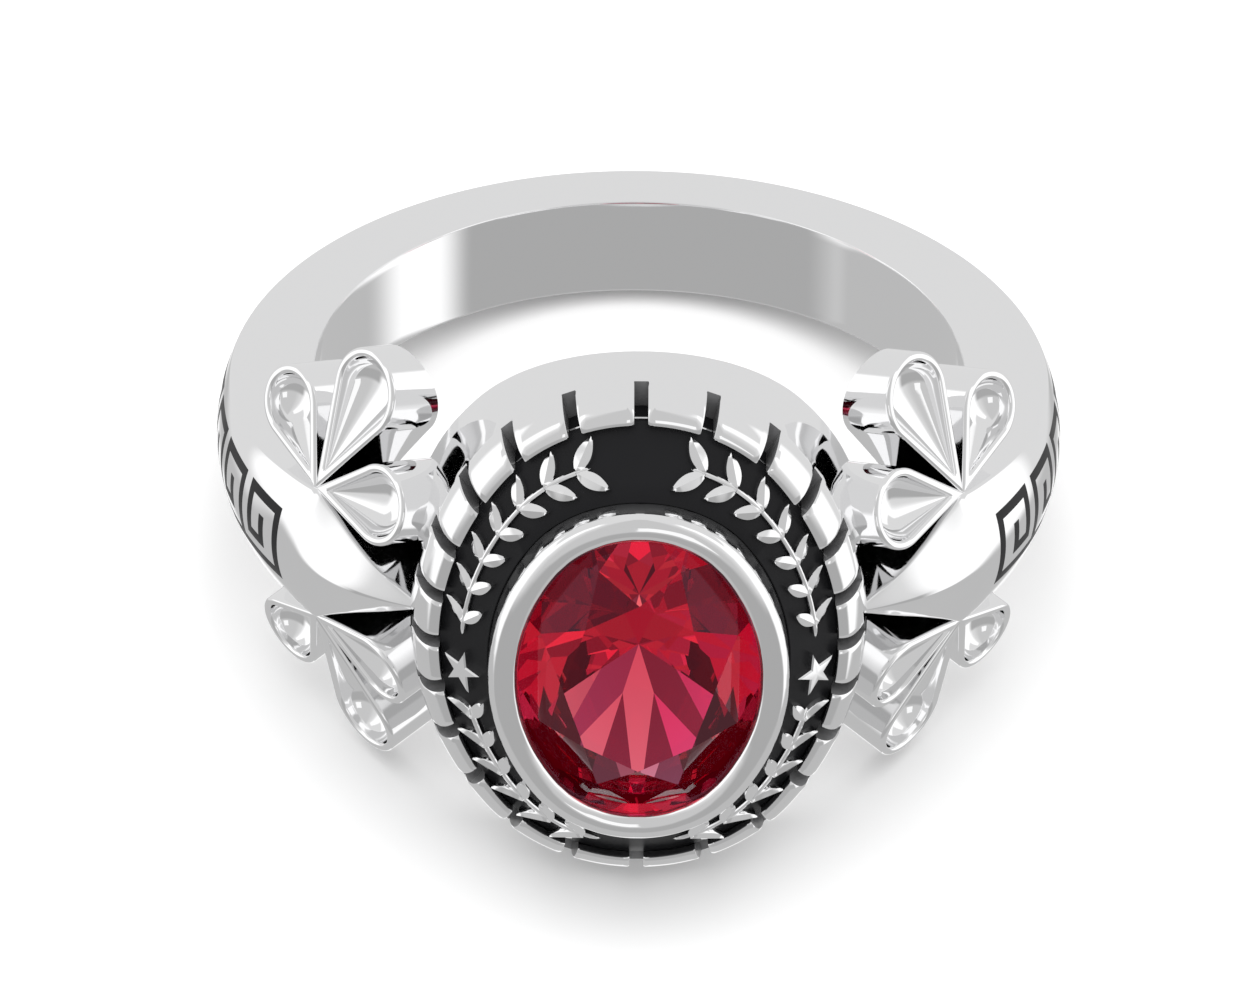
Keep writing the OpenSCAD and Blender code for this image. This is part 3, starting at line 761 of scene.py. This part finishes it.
keys = {
    "half": 1.08,
    "line": 0.27,
    "step": 2.1,
    "count": 6,
    "end": 31.0,  # angle from the side to the end near the head
    "depth": 0.25,
    "proud": 0.002,
    "cell": 0.09,
}
# One key's strokes: start and end along the band as shares of the step, low and high as shares of half
keyStrokes = ((0, 0, -1, 1), (0, 0.7, 1, 1), (0.7, 0.7, -0.4, 1), (0.36, 0.7, -0.4, -0.4),
              (0.36, 0.36, -0.4, 0.3), (0, 1, -1, -1))


def buildKeys(mirror):
    # A sheet of cells over the domed face, with those under a stroke kept and walled in all round
    wide, reach = keys["line"] / 2, keys["half"] - keys["line"] / 2
    rects = np.array([[(i + s) * keys["step"] - wide, (i + e) * keys["step"] + (wide if s == e else 0),
                       low * reach - wide, high * reach + wide]
                      for i in range(keys["count"]) for s, e, low, high in keyStrokes])

    def cuts(values):
        values = np.unique(np.round(values, 6))
        counts = np.ceil(np.diff(values) / keys["cell"]).astype(int)
        parts = [np.linspace(p, q, n + 1)[:-1] for p, q, n in zip(values, values[1:], counts)]
        return np.concatenate(parts + [values[-1:]])

    s, a = cuts(rects[:, :2]), cuts(rects[:, 2:])
    midS, midA = (s[1:] + s[:-1]) / 2, (a[1:] + a[:-1]) / 2
    kept = np.zeros((len(midS), len(midA)), bool)
    for left, right, low, high in rects:
        kept |= ((midS > left) & (midS < right))[:, None] & ((midA > low) & (midA < high))[None, :]
    up = keys["end"] - np.degrees(s / band["crestR"])[:, None]
    top = domeRadius(up, a[None, :]) + keys["proud"]
    sheets = []
    for r in (top, top - keys["depth"]):
        rad = np.radians(up)
        sheets.append(toRow(mirror * r * np.cos(rad), band["middleH"] + r * np.sin(rad), a + 0 * r))
    m, half = len(a), len(s) * len(a)
    quads = gridFaces(len(s), m)[kept.reshape(-1)]
    edges = np.concatenate([quads[:, [k, (k + 1) % 4]] for k in range(4)])
    key = np.sort(edges, axis=1) @ np.array([half, 1])
    _, first, times = np.unique(key, return_index=True, return_counts=True)
    rim = edges[first[times == 1]]
    walls = np.stack([rim[:, 0], rim[:, 1], rim[:, 1] + half, rim[:, 0] + half], -1)
    faces = np.concatenate([quads, quads[:, ::-1] + half, walls])
    used = np.unique(faces)
    renumber = np.zeros(2 * half, int)
    renumber[used] = np.arange(len(used))
    return np.concatenate([p.reshape(-1, 3) for p in sheets])[used], renumber[faces]


for word, mirror in (("left", -1), ("right", 1)):
    makePiece(word + "SideEnamel", *buildKeys(mirror), [enamel], word + "_side_enamel", "black_enamel")
print("side enamel made")


# Stone: an oval brilliant with a large table

stone = {
    "half": (3.5, 4.5),
    "girdleH": 11.68,
    "girdle": 0.14,
    "crown": 1.42,
    "pavilion": 2.75,
    "table": 0.56,
    "star": 0.78,
    "lower": 0.3,
}


def buildStone():
    # Rings of points: table, star points, girdle above and below, pavilion points, culet
    def ring(n, first, share, h):
        t = np.radians(first + 360 * np.arange(n) / n)
        wide, long = stone["half"]
        return np.stack([wide * share * np.cos(t), h + 0 * t, long * share * np.sin(t)], -1)

    top, low = stone["girdleH"], stone["girdleH"] - stone["girdle"]
    cosHalf = cos(radians(22.5))
    starRise = stone["crown"] * (1 - (stone["star"] * cosHalf - stone["table"]) / (1 - stone["table"]))
    lowerDrop = stone["pavilion"] * (1 - stone["lower"] * cosHalf)
    points = np.concatenate([
        ring(8, 0, stone["table"], top + stone["crown"]), ring(8, 22.5, stone["star"], top + starRise),
        ring(16, 0, 1, top), ring(16, 0, 1, low), ring(8, 22.5, stone["lower"], low - lowerDrop),
        [[0, low - stone["pavilion"], 0]]])
    # The number of each ring's first point: star points, girdle above and below, pavilion points
    s, g, l, p, culet = 8, 16, 32, 48, 56
    faces = [list(range(8))]
    for k in range(8):
        nextK, backK = (k + 1) % 8, (k + 7) % 8
        g0, g1, g2 = g + 2 * k, g + 2 * k + 1, g + (2 * k + 2) % 16
        l0, l1, l2 = l + 2 * k, l + 2 * k + 1, l + (2 * k + 2) % 16
        faces += [[k, nextK, s + k], [k, s + k, g0, s + backK], [s + k, g1, g0], [s + k, g2, g1],
                  [g0, g1, l1, l0], [g1, g2, l2, l1], [culet, p + backK, l0, p + k],
                  [p + k, l0, l1], [p + k, l1, l2]]
    return toRow(points[:, 0], points[:, 1], points[:, 2]), faces


# Tints of the facets, as painted light and shade: the dark ones paint shaded facets and the pale ones lit
# facets. The light takes them on as it passes through them
facetLightAndShade = {
    "plain": (1.0, 0.2, 0.36),
    "salmon": (1.0, 0.62, 0.5),
    "lilac": (0.72, 0.42, 0.85),
    "pink": (1.0, 0.1, 0.4),
    "maroon": (0.08, 0.012, 0.025),
    "plum": (0.2, 0.05, 0.12),
}
# Tints round the crown, clockwise from the top, and the order in which the facets below repeat theirs
crownLightAndShade = (
    "salmon", "plain", "maroon", "pink", "plain", "plum", "salmon", "lilac",
    "pink", "plum", "salmon", "lilac", "plain", "salmon", "maroon", "maroon",
)
belowLightAndShade = ("pink", "maroon", "plain", "plum", "salmon", "maroon", "pink", "lilac")
crownLean = 0.05  # a crown facet's direction has at least this share along the table's


def paintFacetLightAndShade(piece):
    # Paints light and shade onto the facets: the table stays plain, and a facet that leans the table's way
    # takes the tint of its place on the clock
    faces = piece.data.polygons
    outward = np.array(faces[0].normal)
    upward = np.cross(outward, (1, 0, 0))
    middle = np.mean([face.center for face in faces], axis=0)
    names, places = ["plain"], len(crownLightAndShade)
    for k, face in enumerate(faces[1:]):
        away = np.array(face.center) - middle
        clock = np.degrees(np.arctan2(away[0], away @ upward)) % 360
        if np.array(face.normal) @ outward > crownLean:
            names.append(crownLightAndShade[round(clock * places / 360) % places])
        else:
            names.append(belowLightAndShade[k % len(belowLightAndShade)])
    colours = np.array([facetLightAndShade[name] + (1,) for name in names])
    layer = piece.data.attributes.new("facetPaintedLight", "FLOAT_COLOR", "CORNER")
    corners = np.repeat(colours, [len(face.vertices) for face in faces], axis=0)
    layer.data.foreach_set("color", corners.astype(np.float32).ravel())


paintFacetLightAndShade(makePiece("ovalStone", *buildStone(), [ruby], "stone", "red_stone", flat=True))
print("stone made")


# Camera: a long lens at the photograph's angle

cameraSetup = {
    "azimuth": -0.41,
    "elevation": 50.2,
    "roll": 0.755,
    "distance": 0.5,
    "lens": 550.0,
    "aim": (-0.356, -2.175),  # millimetres right of and above the finger hole's middle
}


def addCamera():
    az, el, roll = (radians(cameraSetup[k]) for k in ("azimuth", "elevation", "roll"))
    back = Vector((sin(az) * cos(el), -cos(az) * cos(el), sin(el)))
    level = Vector((0, 0, 1)).cross(back).normalized()
    upright = back.cross(level)
    right = cos(roll) * level + sin(roll) * upright
    up = cos(roll) * upright - sin(roll) * level
    aim = Vector(holeMiddle) + (cameraSetup["aim"][0] * right + cameraSetup["aim"][1] * up) * 0.001
    data = bpy.data.cameras.new("camera")
    data.lens = cameraSetup["lens"]
    data.sensor_width = 36
    data.clip_start, data.clip_end = 0.01, 10
    camera = bpy.data.objects.new("camera", data)
    bpy.context.scene.collection.objects.link(camera)
    turn = Matrix((right, up, back)).transposed().to_4x4()
    camera.matrix_world = Matrix.Translation(aim + back * cameraSetup["distance"]) @ turn
    bpy.context.scene.camera = camera


addCamera()
print("camera set")


# Studio: a pale floor, and round the ring a pale back wall, white boxes at both sides and a grey front.
# Single values are brightnesses or sizes. A pair gives the two angles, as turns from straight behind or
# as heights above level, between which one brightness goes over into the next.

studio = {
    "floorHalf": 1.5,
    "floor": (0.9, 0.9, 0.9, 1),
    "backWall": 0.75,
    "frontLow": 0.42,
    "frontHigh": 0.6,
    "boxes": 1.15,
    "ground": 0.52,
    "groundPatch": 1.05,
    "farWindow": 1.05,
    "lowFront": (104, 126),
    "highFront": (122, 150),
    "frontRise": (-6, 6),
    "tallFrom": (90, 98),
    "wideFrom": (57, 64),
    "boxTo": (110, 126),
    "tallTop": (60, 68),
    "wideTop": (24, 31),
    "boxLow": (-26, -14),
    "rightDrop": 17,
    "groundTop": (-38, -30),
    "leftLift": 12,
    "leftFrom": (62, 80),
    "patchWide": (16, 34),
    "patchTop": (-50, -38),
    "windowFrom": (158, 162),
    "windowLow": (5, 7),
    "windowTop": (25, 28),
    "topLight": 4.8,
    "topSize": 0.9,
    "topPlace": (0, 0.02, 0.6),
    "topAim": (0, 0, 0.006),
    "throughStone": 1.0,  # brightness of the room for light that has come through the stone
}


def addFloor():
    w = studio["floorHalf"]
    mesh = bpy.data.meshes.new("floor")
    mesh.from_pydata([(-w, -w, 0), (w, -w, 0), (w, w, 0), (-w, w, 0)], [], [(0, 1, 2, 3)])
    material, nodes, links, shader = newMaterial("paleFloor")
    shader.inputs["Base Color"].default_value = studio["floor"]
    shader.inputs["Roughness"].default_value = 0.6
    mesh.materials.append(material)
    floor = bpy.data.objects.new("floor", mesh)
    bpy.context.scene.collection.objects.link(floor)
    floor.visible_glossy = False
    floor.visible_transmission = False


def addRoom():
    # The room's brightness from the direction alone: its turn from straight behind and its height
    world = bpy.data.worlds.new("studioRoom")
    world.use_nodes = True
    bpy.context.scene.world = world
    nodes, links = world.node_tree.nodes, world.node_tree.links

    def maths(operation, *values):
        node = nodes.new("ShaderNodeMath")
        node.operation = operation
        for k, value in enumerate(values):
            if isinstance(value, (int, float)):
                node.inputs[k].default_value = value
            else:
                links.new(value, node.inputs[k])
        return node.outputs[0]

    def times(first, second):
        return maths("MULTIPLY", first, second)

    def rising(value, limits, low=0.0, high=1.0):
        node = nodes.new("ShaderNodeMapRange")
        node.interpolation_type = "SMOOTHSTEP"
        for label, number in zip(("From Min", "From Max", "To Min", "To Max"),
                                 (radians(limits[0]), radians(limits[1]), low, high)):
            node.inputs[label].default_value = number
        links.new(value, node.inputs["Value"])
        return node.outputs["Result"]

    def falling(value, limits):
        return rising(value, limits, 1.0, 0.0)

    def between(value, start, end):
        return times(rising(value, start), falling(value, end))

    def blend(low, high, share):
        return maths("ADD", times(low, maths("SUBTRACT", 1.0, share)), times(high, share))

    place, parts = nodes.new("ShaderNodeTexCoord"), nodes.new("ShaderNodeSeparateXYZ")
    links.new(place.outputs["Generated"], parts.inputs["Vector"])
    turn = maths("ARCTAN2", parts.outputs["X"], parts.outputs["Y"])
    height = maths("ARCSINE", parts.outputs["Z"])
    away = maths("ABSOLUTE", turn)
    right = maths("GREATER_THAN", turn, 0.0)
    left = maths("SUBTRACT", 1.0, right)

    low = blend(studio["backWall"], studio["frontLow"], rising(away, studio["lowFront"]))
    high = blend(studio["backWall"], studio["frontHigh"], rising(away, studio["highFront"]))
    room = blend(low, high, rising(height, studio["frontRise"]))
    # White boxes: a tall narrow one and a low wide one on each side, which reach lower on the right
    tall = times(between(away, studio["tallFrom"], studio["boxTo"]), falling(height, studio["tallTop"]))
    wide = times(between(away, studio["wideFrom"], studio["boxTo"]), falling(height, studio["wideTop"]))
    drop = times(right, radians(studio["rightDrop"]))
    foot = rising(maths("ADD", height, drop), studio["boxLow"])
    room = blend(room, studio["boxes"], times(maths("MAXIMUM", tall, wide), foot))
    # A bright window behind the camera, on the right
    window = times(between(height, studio["windowLow"], studio["windowTop"]),
                   rising(turn, studio["windowFrom"]))
    room = blend(room, studio["farWindow"], window)
    # The ground, with a bright patch behind the ring and a higher edge on the left
    patch = times(falling(away, studio["patchWide"]), falling(height, studio["patchTop"]))
    ground = blend(studio["ground"], studio["groundPatch"], patch)
    lift = times(between(away, studio["leftFrom"], studio["lowFront"]), left)
    edge = maths("SUBTRACT", height, times(lift, radians(studio["leftLift"])))
    room = blend(room, ground, falling(edge, studio["groundTop"]))
    through = nodes.new("ShaderNodeLightPath").outputs["Is Transmission Ray"]
    dimmed = times(room, studio["throughStone"])
    links.new(blend(room, dimmed, through), nodes["Background"].inputs["Color"])


def addTopLight():
    data = bpy.data.lights.new("topLight", "AREA")
    data.shape = "RECTANGLE"
    data.size = data.size_y = studio["topSize"]
    data.energy = studio["topLight"]
    light = bpy.data.objects.new("topLight", data)
    bpy.context.scene.collection.objects.link(light)
    light.location = studio["topPlace"]
    fromAim = Vector(studio["topPlace"]) - Vector(studio["topAim"])
    light.rotation_euler = fromAim.to_track_quat("Z", "Y").to_euler()
    light.visible_glossy = False
    light.visible_transmission = False


addFloor()
addRoom()
addTopLight()
bpy.context.scene.view_settings.view_transform = "Standard"
bpy.context.scene.cycles.glossy_bounces = 3
print("studio set")
